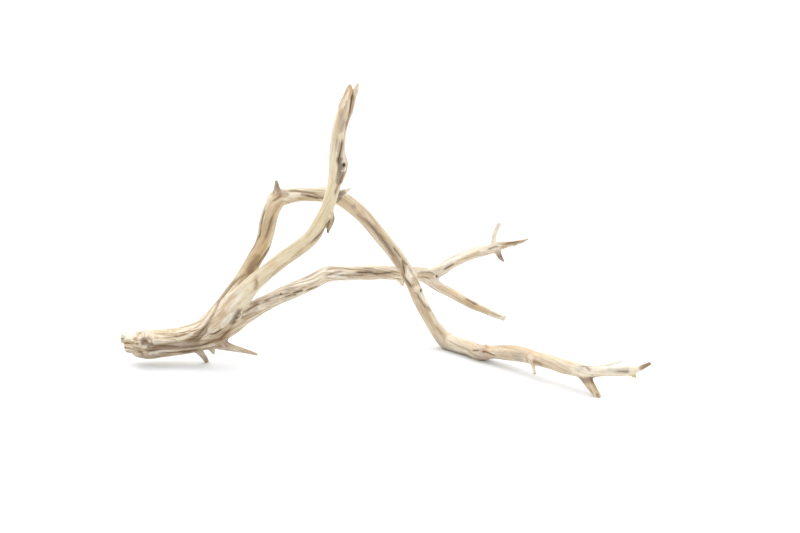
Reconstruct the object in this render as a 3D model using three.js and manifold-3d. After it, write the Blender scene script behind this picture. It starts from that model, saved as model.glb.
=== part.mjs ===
import * as THREE from "three";
import { mergeVertices } from "three/addons/utils/BufferGeometryUtils.js";
import Module from "manifold-3d";

// A branched piece of driftwood in millimetres, Z up, standing on the floor plane z = 0.
// Three strands of wood start side by side at the butt on the left, twist together as the trunk
// and part as three limbs: the upright limb, the arch that comes down to the floor on the right,
// and the long limb that runs behind the arch and forks. The piece is one grown solid.

// Rings across a limb: how many corners each has, and how far apart they are in radii.
const limbSides = 14;
const twigSides = 8;
const ringSpacing = 1.15;

// How deep the ridges along the grain are, as a share of the radius.
const limbRidgeDepth = 0.09;
const twigRidgeDepth = 0.04;

// A limb runs to the front if this share of its length is along Y.
const frontShare = 0.85;

// Size of the block below the floor that trims the feet flat.
const floorBlock = { width: 700, depth: 400, thickness: 40 };

// The softening of corners leaves points alone that would move less than this, and measures
// the slope over this distance.
const leastFill = 0.02;
const slopeProbe = 0.2;

// Every row of a route is the centre x, y, z and the radius there. The routes are hand-placed.
// fillet is how softly a limb melts into the ones before it.
const limbs = [
  {
    name: "upright limb",
    sides: 16,
    fillet: 6,
    ridges: { count: 3, depth: limbRidgeDepth, turnsPerMetre: 1.5, phase: 0.4 },
    start: "broken",
    end: "round",
    route: [
      [-281, -5, 24, 10], [-269, -5, 23.5, 12.5], [-255, -4, 23.5, 13], [-223, -3, 26.5, 12.5],
      [-196, -3, 34.5, 13], [-175, -3, 54, 13], [-156, -5, 74, 12], [-140.5, -8, 92.5, 10],
      [-124, -11, 108, 9], [-105, -15, 125, 8.5], [-84, -19, 141, 8.3], [-70.5, -21, 153.5, 8.2],
      [-62, -21, 169, 7.8], [-54, -20, 185, 7.5], [-49, -18, 200, 7.2], [-45, -16, 216, 7.5],
      [-43, -13, 232, 8.5], [-42, -10, 248, 8.5], [-40, -7, 268, 8.2], [-35.5, -3, 286, 8.5],
      [-31.5, 0, 300, 7],
    ],
  },
  {
    name: "arch",
    sides: limbSides,
    fillet: 6,
    ridges: { count: 2, depth: limbRidgeDepth, turnsPerMetre: 2.5, phase: 1.1 },
    start: "broken",
    end: "round",
    route: [
      [-288, 1, 29, 6], [-269, 1, 28, 9], [-247, 3, 29, 10], [-218, 4, 32, 9.7],
      [-197, 5, 40.3, 10.2], [-179, 6, 58, 10], [-164, 8, 79.5, 8.5], [-150, 10, 99.5, 8.3],
      [-138.3, 13, 117.7, 9.6], [-129.3, 16, 133, 9.8], [-125.2, 20, 147, 10.3],
      [-122, 24, 163, 10.7], [-117.3, 29, 176, 10.5], [-111.3, 34, 184, 10.7],
      [-102.5, 40, 186, 9.8], [-89, 46, 186.5, 8], [-74, 52, 185.5, 7.7], [-58, 57, 184, 8],
      [-43, 62, 179, 8.1], [-30, 66, 170, 8.3], [-16, 69, 157, 8.4], [3.7, 72, 132.7, 8.5],
      [20.6, 73, 110.7, 8.7], [34.2, 72, 91, 8.2], [40, 71, 79, 7.8], [49.7, 69, 56, 7.7],
      [60.3, 66, 36, 7.4], [70, 63, 21, 8], [82, 57, 9.2, 9.6], [93, 43, 8.7, 9],
      [106, 28, 9.3, 8.7], [119, 13, 8.4, 9.4], [133, 0, 12.6, 7.9], [148, -16, 17, 8.5],
      [163, -33, 20, 8], [177, -51, 21, 7.5], [193, -70, 22, 7.5], [208, -88, 22, 8],
      [223, -104, 23, 8], [232, -113, 24, 7], [245, -121, 27, 6], [259, -129, 29, 5.5],
      [273, -135, 32, 5.3], [283, -138, 36, 3.2], [293, -141, 42, 1.7],
    ],
  },
  {
    name: "long limb",
    sides: limbSides,
    fillet: 5,
    ridges: { count: 3, depth: limbRidgeDepth, turnsPerMetre: 3, phase: 2 },
    start: "broken",
    end: "round",
    route: [
      [-271, -8, 16, 6.5], [-259, -9, 16, 8.5], [-240, -10, 20, 9], [-211, -10, 24, 9],
      [-185, -9, 30, 9], [-166, -5, 42.7, 9.5], [-149, 1, 55.8, 9.7], [-130, 9, 66.7, 9],
      [-110, 18, 75, 8.8], [-91, 29, 79.6, 9], [-74, 41, 84.5, 9], [-61, 51, 90, 9],
      [-46, 61, 90, 8.4], [-29, 72, 87, 8.2], [-12, 82, 85, 8.3], [6, 92, 83, 8.4],
      [23, 101, 80, 8.5], [39, 108, 78, 8.5], [53, 113, 77, 7.8], [65, 117, 76.2, 7.4],
      [76, 120, 79.3, 7.1], [88, 122, 87, 7], [100, 125, 92, 6.8], [113, 128, 96, 6.5],
      [125, 131, 99, 6.5], [136, 133, 102, 6], [147, 136, 105, 5], [159, 138, 106.6, 3.7],
      [171, 140, 108.7, 2.8], [181, 142, 112, 1.3],
    ],
  },
  {
    name: "lower fork",
    sides: 12,
    fillet: 5,
    ridges: { count: 2, depth: limbRidgeDepth, turnsPerMetre: 3, phase: 0.2 },
    start: "buried",
    end: "broken",
    route: [
      [51, 112, 75, 6.5], [63, 114, 67.7, 7], [75, 111, 59.5, 6], [87, 107, 54.4, 5.5],
      [100, 102, 48.2, 5.3], [114, 96, 42, 4.9], [128, 90, 37, 4.1], [139, 85, 33.6, 4],
      [150, 81, 30.2, 3.2],
    ],
  },
];

// Stubs, thorns, twigs and knots. Each starts inside the limb that carries it.
const twigs = [
  {
    name: "spike under the trunk",
    fillet: 5,
    end: "round",
    route: [
      [-178, -8, 25, 7], [-167, -11, 22, 5], [-154, -15, 20, 3.5], [-144, -18, 18, 2.5],
      [-135, -20, 16, 1.5],
    ],
  },
  {
    name: "left foot",
    fillet: 3,
    end: "round",
    route: [[-205, -4, 20, 6], [-200, -2, 12, 4], [-196, 1, 5, 3], [-194, 3, 0, 2.5]],
  },
  {
    name: "nub under the trunk",
    fillet: 3,
    end: "broken",
    route: [[-188, -7, 23, 5], [-186, -7, 16, 3], [-185, -7, 13, 1.5]],
  },
  {
    name: "right foot",
    fillet: 4,
    end: "round",
    route: [
      [225, -105, 22, 7], [229, -112, 16, 6], [233, -119, 10, 5], [237, -124, 5, 4],
      [240, -127, 0, 3.5],
    ],
  },
  {
    name: "stub on top of the arch",
    fillet: 4,
    end: "broken",
    route: [
      [-116, 31, 184, 7], [-113, 31, 192, 4.5], [-112.5, 31, 199, 3.3], [-113, 31, 205, 2],
    ],
  },
  {
    name: "splinter behind the upright limb",
    fillet: 3,
    end: "round",
    route: [[-54, 58, 181, 5], [-42, 56, 186, 4], [-35, 55, 189, 2.5], [-30, 54, 192, 1]],
  },
  {
    name: "peg",
    fillet: 3,
    end: "broken",
    route: [[171, -47, 21, 5], [174, -57, 18, 3], [175, -62, 13, 2], [176, -67, 8, 2]],
  },
  {
    name: "twig at the far right",
    fillet: 3,
    end: "round",
    route: [[238, -114, 26, 4], [249, -103, 28, 2.5], [259, -93, 27, 2], [270, -83, 27, 1.5]],
  },
  {
    name: "twig above the long limb",
    fillet: 3,
    end: "broken",
    route: [[137, 134, 101, 5], [139, 134, 109, 3.5], [140.5, 135, 120, 3], [145.5, 136, 132, 2.8]],
  },
  {
    name: "twig below the long limb",
    fillet: 3,
    end: "round",
    route: [[142, 134, 103, 4.5], [145, 132, 96, 3.6], [147, 130, 92, 3], [151, 128, 88, 1.5]],
  },
  {
    name: "nub under the long limb",
    fillet: 3,
    end: "round",
    route: [[27, 101, 77, 5.5], [29, 100, 70, 3.5], [30, 99, 66, 2]],
  },
  {
    name: "left prong of the split tip",
    fillet: 2,
    end: "round",
    route: [[-35, -2, 294, 6.2], [-31.7, 1, 305, 5.3], [-30, 4, 312, 4], [-28.5, 6, 318, 2.2]],
  },
  {
    name: "right prong of the split tip",
    fillet: 2,
    end: "round",
    route: [[-31, -1, 290, 5], [-26, 3, 303, 4.2], [-21.5, 7, 313, 3], [-19.7, 8, 319, 1.8]],
  },
  {
    name: "hump and thorn on the upright limb",
    fillet: 3,
    end: "round",
    route: [[-54, -20, 182, 6], [-50, -21, 174, 5], [-51.5, -22, 165, 3], [-53, -22, 158, 1.5]],
  },
  {
    name: "lip of the hollow on the upright limb",
    fillet: 3,
    end: "round",
    route: [
      [-42, -15, 216, 6], [-36.8, -13, 226, 5.2], [-34.7, -11, 234, 4.2], [-38.5, -9, 244, 4],
    ],
  },
  {
    name: "burl at the butt",
    fillet: 4,
    end: "round",
    route: [[-260, -4, 29, 9], [-260, -11, 30, 9], [-260, -16, 31, 8]],
  },
  {
    name: "knot on the trunk",
    fillet: 3,
    end: "round",
    route: [[-158, -2, 62, 7], [-157, -9, 60, 6], [-157, -12, 59, 5]],
  },
  {
    name: "knob where the arch crosses the long limb",
    fillet: 3,
    end: "round",
    route: [[40, 70, 80, 7.2], [44.5, 66, 72, 7], [49, 64, 68, 5]],
  },
  {
    name: "knot over the belly of the arch",
    fillet: 4,
    end: "round",
    route: [[124, 8, 11, 6.5], [125, 4, 13, 6.5], [126, 1, 14, 5.2]],
  },
  {
    name: "toe at the foot of the arch",
    fillet: 3,
    end: "round",
    route: [[82, 57, 9, 8], [79.5, 57, 4, 5.5], [78.3, 57, 2, 3]],
  },
  {
    name: "hook near the end of the arch",
    fillet: 2,
    end: "round",
    route: [[275, -135, 31, 4.5], [277, -136, 27, 2.5], [279, -136, 25, 1]],
  },
];

// Hollows that are scooped out of the wood.
const hollows = [
  {
    name: "hollow of the upright limb",
    end: "round",
    route: [[-36, -24, 214, 1.5], [-35, -24, 222, 3], [-34, -22, 230, 3], [-34, -20, 237, 1.5]],
  },
  {
    name: "hole of the trunk knot",
    end: "round",
    route: [[-155, -17, 64, 1.5], [-157, -17, 60, 3], [-159, -17, 55, 1.5]],
  },
];

const wasm = await Module();
wasm.setup();

// The centre line and the radius of a limb, and the share of its route at each ring.
function pathOf(route) {
  const centres = route.map(([x, y, z]) => new THREE.Vector3(x, y, z));
  const line = new THREE.CatmullRomCurve3(centres, false, "centripetal");
  const girth = new THREE.SplineCurve(route.map((row, i) => new THREE.Vector2(i, row[3])));
  const spans = route.length - 1;
  const shares = [];
  for (let i = 0; i < spans; i++) {
    const gap = centres[i].distanceTo(centres[i + 1]);
    const radius = (route[i][3] + route[i + 1][3]) / 2;
    const rings = Math.max(1, Math.round(gap / (ringSpacing * radius)));
    for (let k = 0; k < rings; k++) {
      shares.push((i + k / rings) / spans);
    }
  }
  shares.push(1);
  return { line, girth, shares };
}

// The direction across a limb from which the angles round it are counted: away from the front of
// the piece, or down for a limb that itself runs to the front.
function acrossOf(line) {
  const whole = line.getPoint(1).sub(line.getPoint(0)).normalize();
  return Math.abs(whole.y) > frontShare ? new THREE.Vector3(0, 0, -1) : new THREE.Vector3(0, 1, 0);
}

// How much the ridges along the grain raise or lower the surface, as a factor of the radius.
function ridgeFactor(ridges, distance, angle) {
  const turn = 2 * Math.PI * ridges.turnsPerMetre * distance / 1000;
  const broad = Math.cos(ridges.count * (angle - turn) + ridges.phase);
  const narrow = Math.cos((ridges.count + 2) * (angle + 0.4 * turn) - 2 * ridges.phase);
  return 1 + ridges.depth * (0.65 * broad + 0.35 * narrow);
}

// A ragged edge round a broken end, between 0 and 1.
function jag(angle, phase) {
  const coarse = Math.sin(2 * angle + phase);
  const fine = Math.sin(5 * angle + 3 * phase);
  return 0.5 + 0.35 * coarse + 0.15 * fine;
}

// Extra rings that close an end. Each has a share of the end's radius, a reach beyond it in
// radii, and how far the ragged edge lets it stand out.
const endRings = {
  round: [{ share: 0.8, reach: 0.35, ragged: 0 }, { share: 0.45, reach: 0.6, ragged: 0 }],
  broken: [{ share: 0.9, reach: 0.2, ragged: 0.9 }, { share: 0.5, reach: 0, ragged: 0.5 }],
  buried: [],
};
const endCentreReach = { round: 0.7, broken: 0.1, buried: 0 };

// A closed skin of rings round the route of a limb.
function skinOf(limb) {
  const { line, girth, shares } = pathOf(limb.route);
  const sides = limb.sides ?? twigSides;
  const ridges = limb.ridges ?? { count: 2, depth: twigRidgeDepth, turnsPerMetre: 5, phase: 1 };
  const rings = [];
  const reference = acrossOf(line);
  const side = new THREE.Vector3();
  let distance = 0;
  let before = line.getPoint(0);

  function ring(centre, tangent, radius, reach, ragged) {
    const other = new THREE.Vector3().crossVectors(tangent, side);
    const corners = [];
    for (let i = 0; i < sides; i++) {
      const angle = 2 * Math.PI * i / sides;
      const size = radius * ridgeFactor(ridges, distance, angle);
      const along = reach + ragged * jag(angle, ridges.phase);
      corners.push(centre.clone()
        .addScaledVector(side, Math.cos(angle) * size)
        .addScaledVector(other, Math.sin(angle) * size)
        .addScaledVector(tangent, along));
    }
    return corners;
  }

  function closing(style, centre, tangent, radius, sense) {
    return endRings[style].map(({ share, reach, ragged }) =>
      ring(centre, tangent, radius * share, sense * radius * reach, sense * radius * ragged));
  }

  shares.forEach((share, i) => {
    const centre = line.getPoint(share);
    const tangent = line.getTangent(share);
    const radius = girth.getPoint(share).y;
    distance += centre.distanceTo(before);
    before = centre;
    side.copy(reference).addScaledVector(tangent, -reference.dot(tangent)).normalize();
    if (i === 0) {
      rings.push(...closing(limb.start ?? "buried", centre, tangent, radius, -1).reverse());
    }
    rings.push(ring(centre, tangent, radius, 0, 0));
    if (i === shares.length - 1) {
      rings.push(...closing(limb.end, centre, tangent, radius, 1));
    }
  });

  const firstReach = endCentreReach[limb.start ?? "buried"] * limb.route[0][3];
  const lastReach = endCentreReach[limb.end] * limb.route[limb.route.length - 1][3];
  const first = line.getPoint(0).addScaledVector(line.getTangent(0), -firstReach);
  const last = line.getPoint(1).addScaledVector(line.getTangent(1), lastReach);
  return { rings, sides, first, last };
}

// A closed solid from the rings, with a fan of triangles at each end.
function solidOf(limb) {
  const { rings, sides, first, last } = skinOf(limb);
  const points = [first, ...rings.flat(), last];
  const corner = (ringIndex, i) => 1 + ringIndex * sides + (i % sides);
  const lastPoint = points.length - 1;
  const triangles = [];
  for (let i = 0; i < sides; i++) {
    triangles.push(0, corner(0, i + 1), corner(0, i));
    triangles.push(lastPoint, corner(rings.length - 1, i), corner(rings.length - 1, i + 1));
    for (let k = 0; k < rings.length - 1; k++) {
      triangles.push(corner(k, i), corner(k, i + 1), corner(k + 1, i + 1));
      triangles.push(corner(k, i), corner(k + 1, i + 1), corner(k + 1, i));
    }
  }
  return manifoldOf(points.flatMap((point) => point.toArray()), triangles);
}

function manifoldOf(positions, triangles) {
  return new wasm.Manifold(new wasm.Mesh({
    numProp: 3,
    vertProperties: new Float32Array(positions),
    triVerts: new Uint32Array(triangles),
  }));
}

// Short straight cones that stand in for a limb when the distance to it is measured.
function conesOf(limb) {
  const { line, girth, shares } = pathOf(limb.route);
  const stops = shares.map((share) => ({
    centre: line.getPoint(share),
    radius: girth.getPoint(share).y,
  }));
  return stops.slice(1).map((stop, i) => ({ from: stops[i], to: stop }));
}

// Distance from a point to the surface of a limb, less than zero inside it.
function distanceTo(cones, point) {
  let nearest = Infinity;
  const axis = new THREE.Vector3();
  const offset = new THREE.Vector3();
  for (const { from, to } of cones) {
    axis.subVectors(to.centre, from.centre);
    offset.subVectors(point, from.centre);
    const share = THREE.MathUtils.clamp(offset.dot(axis) / axis.lengthSq(), 0, 1);
    const radius = THREE.MathUtils.lerp(from.radius, to.radius, share);
    nearest = Math.min(nearest, offset.addScaledVector(axis, -share).length() - radius);
  }
  return nearest;
}

const wood = [...limbs, ...twigs];
const measured = wood.map((limb) => ({ cones: conesOf(limb), fillet: limb.fillet }));

// Extra wood in the corner between limbs: the softened distance to all the wood at a point, and
// how far that fills out the sharp corner.
function fillAt(point) {
  let sharp = Infinity;
  let soft = Infinity;
  for (const { cones, fillet } of measured) {
    const distance = distanceTo(cones, point);
    const overlap = Math.max(0, 1 - Math.abs(soft - distance) / fillet);
    soft = Math.min(soft, distance) - overlap ** 2 * fillet / 4;
    sharp = Math.min(sharp, distance);
  }
  return { soft, fill: sharp - soft };
}

// Fills out the creases where limbs meet, by moving points along the slope of the soft distance.
function soften(positions) {
  const point = new THREE.Vector3();
  for (let i = 0; i < positions.length; i += 3) {
    point.fromArray(positions, i);
    const { fill } = fillAt(point);
    if (fill < leastFill) {
      continue;
    }
    const slope = new THREE.Vector3();
    for (const key of ["x", "y", "z"]) {
      const ahead = point.clone();
      const behind = point.clone();
      ahead[key] += slopeProbe;
      behind[key] -= slopeProbe;
      slope[key] = fillAt(ahead).soft - fillAt(behind).soft;
    }
    point.addScaledVector(slope.normalize(), fill).toArray(positions, i);
  }
}

// The block under the floor, as a solid.
function floorSolid() {
  const { width, depth, thickness } = floorBlock;
  const box = new THREE.BoxGeometry(width, depth, thickness).translate(0, 0, -thickness / 2);
  box.deleteAttribute("normal");
  box.deleteAttribute("uv");
  const merged = mergeVertices(box);
  return manifoldOf(merged.getAttribute("position").array, merged.getIndex().array);
}

function driftwoodGeometry() {
  let solid = wood.map(solidOf).reduce((sum, limb) => sum.add(limb));
  solid = hollows.map(solidOf).reduce((rest, hollow) => rest.subtract(hollow), solid);
  const rough = solid.getMesh();
  const positions = Float32Array.from(rough.vertProperties);
  soften(positions);
  const trimmed = manifoldOf(positions, rough.triVerts).subtract(floorSolid()).getMesh();
  const geometry = new THREE.BufferGeometry();
  geometry.setAttribute("position", new THREE.BufferAttribute(trimmed.vertProperties, 3));
  geometry.setIndex(new THREE.BufferAttribute(trimmed.triVerts, 1));
  geometry.computeVertexNormals();
  geometry.computeBoundingBox();
  const middle = geometry.boundingBox.getCenter(new THREE.Vector3());
  return geometry.translate(-middle.x, -middle.y, 0);
}

const driftwood = new THREE.Mesh(
  driftwoodGeometry(),
  new THREE.MeshStandardMaterial({ color: 0xd9c4a0, roughness: 0.85, metalness: 0 }),
);
driftwood.name = "driftwood";

const part = new THREE.Group();
part.add(driftwood);

export default part;
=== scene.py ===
import math

import bpy
import numpy as np
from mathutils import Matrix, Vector


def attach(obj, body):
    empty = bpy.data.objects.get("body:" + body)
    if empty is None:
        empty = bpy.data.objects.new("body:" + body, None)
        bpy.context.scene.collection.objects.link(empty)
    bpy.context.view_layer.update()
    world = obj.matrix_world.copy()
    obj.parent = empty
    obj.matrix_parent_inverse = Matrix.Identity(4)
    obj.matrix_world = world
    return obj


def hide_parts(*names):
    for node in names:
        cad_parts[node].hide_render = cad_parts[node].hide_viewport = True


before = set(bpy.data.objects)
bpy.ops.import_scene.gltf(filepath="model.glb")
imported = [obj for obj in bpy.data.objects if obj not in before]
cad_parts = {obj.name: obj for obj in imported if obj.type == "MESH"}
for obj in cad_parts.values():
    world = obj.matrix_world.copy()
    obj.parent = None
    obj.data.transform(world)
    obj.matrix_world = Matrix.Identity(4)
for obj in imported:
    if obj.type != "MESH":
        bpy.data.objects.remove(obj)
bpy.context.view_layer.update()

# The wood is worked out in millimetres and goes to metres at the end.
millimetre = 0.001

# The routes are those of the solid model. This moves them to the middle of its box.
routeShift = np.array([0.42, -0.23, 0.0])

# How fine the surface is: the spacing of samples along a limb, the sides of the first skin, the
# voxels that join the limbs, and the triangles that are left.
surface = {
    "sampleSpacing": 2.0,
    "sides": 28,
    "voxel": 0.7,
    "triangles": 190000,
}

# How far a round end stands out beyond its last centre, in radii.
roundEndReach = 0.7

# A broken end, in shares of the radius: how far it stands out at its middle, how much it falls off
# towards its rim and how much of that is ragged. fibre is the width of its fibres in millimetres.
brokenEnd = {"reach": 0.15, "fall": 0.3, "ragged": 0.35, "fibre": 2.4}

# A limb whose direction has more than this share of it towards the viewer is seen end on.
frontShare = 0.85

limbRidgeDepth = 0.09
twigRidges = {"count": 2, "depth": 0.04, "turnsPerMetre": 5, "phase": 1}

# Every row of a route is the centre x, y, z and the radius there. Most of the rows were picked by
# eye in the photo with a guessed depth, turned into millimetres by a separate helper script, and
# then fitted by hand. fillet is how softly a limb melts into the ones before it.
limbs = [
    {
        "name": "upright limb",
        "fillet": 6,
        "ridges": {"count": 3, "depth": limbRidgeDepth, "turnsPerMetre": 1.5, "phase": 0.4},
        "start": "broken",
        "end": "round",
        "route": [
            [-281, -5, 24, 10], [-269, -5, 23.5, 12.5], [-255, -4, 23.5, 13],
            [-223, -3, 26.5, 12.5], [-196, -3, 34.5, 13], [-175, -3, 54, 13], [-156, -5, 74, 12],
            [-140.5, -8, 92.5, 10], [-124, -11, 108, 9], [-105, -15, 125, 8.5],
            [-84, -19, 141, 8.3], [-70.5, -21, 153.5, 8.2], [-62, -21, 169, 7.8],
            [-54, -20, 185, 7.5], [-49, -18, 200, 7.2], [-45, -16, 216, 7.5],
            [-43, -13, 232, 8.5], [-42, -10, 248, 8.5], [-40, -7, 268, 8.2],
            [-35.5, -3, 286, 8.5], [-31.5, 0, 300, 7],
        ],
    },
    {
        "name": "arch",
        "fillet": 6,
        "ridges": {"count": 2, "depth": limbRidgeDepth, "turnsPerMetre": 2.5, "phase": 1.1},
        "start": "broken",
        "end": "round",
        "route": [
            [-288, 1, 29, 6], [-269, 1, 28, 9], [-247, 3, 29, 10], [-218, 4, 32, 9.7],
            [-197, 5, 40.3, 10.2], [-179, 6, 58, 10], [-164, 8, 79.5, 8.5], [-150, 10, 99.5, 8.3],
            [-138.3, 13, 117.7, 9.6], [-129.3, 16, 133, 9.8], [-125.2, 20, 147, 10.3],
            [-122, 24, 163, 10.7], [-117.3, 29, 176, 10.5], [-111.3, 34, 184, 10.7],
            [-102.5, 40, 186, 9.8], [-89, 46, 186.5, 8], [-74, 52, 185.5, 7.7],
            [-58, 57, 184, 8], [-43, 62, 179, 8.1], [-30, 66, 170, 8.3], [-16, 69, 157, 8.4],
            [3.7, 72, 132.7, 8.5], [20.6, 73, 110.7, 8.7], [34.2, 72, 91, 8.2],
            [40, 71, 79, 7.8], [49.7, 69, 56, 7.7], [60.3, 66, 36, 7.4], [70, 63, 21, 8],
            [82, 57, 9.2, 9.6], [93, 43, 8.7, 9], [106, 28, 9.3, 8.7], [119, 13, 8.4, 9.4],
            [133, 0, 12.6, 7.9], [148, -16, 17, 8.5], [163, -33, 20, 8], [177, -51, 21, 7.5],
            [193, -70, 22, 7.5], [208, -88, 22, 8], [223, -104, 23, 8], [232, -113, 24, 7],
            [245, -121, 27, 6], [259, -129, 29, 5.5], [273, -135, 32, 5.3],
            [283, -138, 36, 3.2], [293, -141, 42, 1.7],
        ],
    },
    {
        "name": "long limb",
        "fillet": 5,
        "ridges": {"count": 3, "depth": limbRidgeDepth, "turnsPerMetre": 3, "phase": 2},
        "start": "broken",
        "end": "round",
        "route": [
            [-271, -8, 16, 6.5], [-259, -9, 16, 8.5], [-240, -10, 20, 9], [-211, -10, 24, 9],
            [-185, -9, 30, 9], [-166, -5, 42.7, 9.5], [-149, 1, 55.8, 9.7], [-130, 9, 66.7, 9],
            [-110, 18, 75, 8.8], [-91, 29, 79.6, 9], [-74, 41, 84.5, 9], [-61, 51, 90, 9],
            [-46, 61, 90, 8.4], [-29, 72, 87, 8.2], [-12, 82, 85, 8.3], [6, 92, 83, 8.4],
            [23, 101, 80, 8.5], [39, 108, 78, 8.5], [53, 113, 77, 7.8], [65, 117, 76.2, 7.4],
            [76, 120, 79.3, 7.1], [88, 122, 87, 7], [100, 125, 92, 6.8], [113, 128, 96, 6.5],
            [125, 131, 99, 6.5], [136, 133, 102, 6], [147, 136, 105, 5], [159, 138, 106.6, 3.7],
            [171, 140, 108.7, 2.8], [181, 142, 112, 1.3],
        ],
    },
    {
        "name": "lower fork",
        "fillet": 5,
        "ridges": {"count": 2, "depth": limbRidgeDepth, "turnsPerMetre": 3, "phase": 0.2},
        "start": "buried",
        "end": "broken",
        "route": [
            [51, 112, 75, 6.5], [63, 114, 67.7, 7], [75, 111, 59.5, 6], [87, 107, 54.4, 5.5],
            [100, 102, 48.2, 5.3], [114, 96, 42, 4.9], [128, 90, 37, 4.1], [139, 85, 33.6, 4],
            [150, 81, 30.2, 3.2],
        ],
    },
]

# Stubs, thorns, twigs and knots: name, fillet, how the end is, and the route.
twigRows = [
    ("spike", 5, "round", [
        [-178, -8, 25, 7], [-167, -11, 22, 5], [-154, -15, 20, 3.5], [-144, -18, 18, 2.5],
        [-135, -20, 16, 1.5]]),
    ("left foot", 3, "round",
        [[-205, -4, 20, 6], [-200, -2, 12, 4], [-196, 1, 5, 3], [-194, 3, 0, 2.5]]),
    ("trunk nub", 3, "broken", [[-188, -7, 23, 5], [-186, -7, 16, 3], [-185, -7, 13, 1.5]]),
    ("right foot", 4, "round", [
        [225, -105, 22, 7], [229, -112, 16, 6], [233, -119, 10, 5], [237, -124, 5, 4],
        [240, -127, 0, 3.5]]),
    ("top stub", 4, "broken",
        [[-116, 31, 184, 7], [-113, 31, 192, 4.5], [-112.5, 31, 199, 3.3], [-113, 31, 205, 2]]),
    ("splinter", 3, "round",
        [[-54, 58, 181, 5], [-42, 56, 186, 4], [-35, 55, 189, 2.5], [-30, 54, 192, 1]]),
    ("peg", 3, "broken",
        [[171, -47, 21, 5], [174, -57, 18, 3], [175, -62, 13, 2], [176, -67, 8, 2]]),
    ("far twig", 3, "round",
        [[238, -114, 26, 4], [249, -103, 28, 2.5], [259, -93, 27, 2], [270, -83, 27, 1.5]]),
    ("upper twig", 3, "broken", [
        [137, 134, 101, 5], [139, 134, 109, 3.5], [140.5, 135, 120, 3], [145.5, 136, 132, 2.8]]),
    ("lower twig", 3, "round",
        [[142, 134, 103, 4.5], [145, 132, 96, 3.6], [147, 130, 92, 3], [151, 128, 88, 1.5]]),
    ("long limb nub", 3, "round", [[27, 101, 77, 5.5], [29, 100, 70, 3.5], [30, 99, 66, 2]]),
    ("left prong", 3, "round",
        [[-35, -2, 294, 6.2], [-31.7, 1, 305, 5.3], [-30, 4, 312, 4], [-28.5, 6, 318, 2.2]]),
    ("right prong", 6, "round",
        [[-31, -1, 290, 5], [-26, 3, 303, 4.2], [-21.5, 7, 313, 3], [-19.7, 8, 319, 1.8]]),
    ("hump", 3, "round",
        [[-54, -20, 182, 6], [-50, -21, 174, 5], [-51.5, -22, 165, 3], [-53, -22, 158, 1.5]]),
    ("hollow lip", 3, "round", [
        [-42, -15, 216, 6], [-36.8, -13, 226, 5.2], [-34.7, -11, 234, 4.2], [-38.5, -9, 244, 4]]),
    ("burl", 4, "round", [[-260, -4, 29, 9], [-260, -11, 30, 9], [-260, -16, 31, 8]]),
    ("trunk knot", 3, "round", [[-158, -2, 62, 7], [-157, -9, 60, 6], [-157, -12, 59, 5]]),
    ("crossing knob", 3, "round", [[40, 70, 80, 7.2], [44.5, 66, 72, 7], [49, 64, 68, 5]]),
    ("belly knot", 4, "round", [[124, 8, 11, 6.5], [125, 4, 13, 6.5], [126, 1, 14, 5.2]]),
    ("toe", 3, "round", [[82, 57, 9, 8], [79.5, 57, 4, 5.5], [78.3, 57, 2, 3]]),
    ("hook", 2, "round", [[275, -135, 31, 4.5], [277, -136, 27, 2.5], [279, -136, 25, 1]]),
]
wood = limbs + [
    {"name": name, "fillet": fillet, "ridges": twigRidges, "start": "buried", "end": end,
     "route": route}
    for name, fillet, end, route in twigRows
]

# Hollows that are scooped out: fillet, and the route.
hollows = [
    {"name": name, "fillet": fillet, "ridges": twigRidges, "start": "round", "end": "round",
     "route": route}
    for name, fillet, route in [
        ("hollow of the upright limb", 2, [
            [-36, -24, 214, 1.5], [-35, -24, 222, 3], [-34, -22, 230, 3], [-34, -20, 237, 1.5]]),
        ("hole of the trunk knot", 2,
            [[-155, -17, 64, 1.5], [-157, -17, 60, 3], [-159, -17, 55, 1.5]]),
    ]
]


# The smooth line through a route, as three.js draws it, with its radius at each sample.
def sampleRoute(route, spacing):
    rows = np.array(route, float)
    centres = rows[:, :3] + routeShift
    radii = rows[:, 3]
    before = 2 * centres[0] - centres[1]
    after = 2 * centres[-1] - centres[-2]
    places = np.vstack([before, centres, after])
    widths = np.concatenate([radii[:1], radii, radii[-1:]])
    lines, girths = [], []
    for i in range(len(rows) - 1):
        p0, p1, p2, p3 = places[i:i + 4]
        gaps = [np.sum((b - a) ** 2) ** 0.25 for a, b in ((p0, p1), (p1, p2), (p2, p3))]
        first = (p1 - p0) / gaps[0] - (p2 - p0) / (gaps[0] + gaps[1]) + (p2 - p1) / gaps[1]
        second = (p2 - p1) / gaps[1] - (p3 - p1) / (gaps[1] + gaps[2]) + (p3 - p2) / gaps[2]
        first, second = first * gaps[1], second * gaps[1]
        steps = max(1, round(np.linalg.norm(p2 - p1) / spacing))
        t = np.arange(steps) / steps
        r0, r1, r2, r3 = widths[i:i + 4]
        girths.append(hermite(r1, r2, (r2 - r0) / 2, (r3 - r1) / 2, t))
        lines.append(hermite(p1, p2, first, second, t[:, None]))
    lines.append(centres[-1:])
    girths.append(radii[-1:])
    return np.vstack(lines), np.concatenate(girths)


def hermite(start, end, firstSlope, lastSlope, t):
    rise = end - start
    return (start + firstSlope * t + (3 * rise - 2 * firstSlope - lastSlope) * t ** 2
            + (firstSlope + lastSlope - 2 * rise) * t ** 3)


def unit(vectors):
    return vectors / np.maximum(np.linalg.norm(vectors, axis=-1, keepdims=True), 1e-9)


def dot(a, b):
    return np.sum(a * b, axis=-1)


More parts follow.
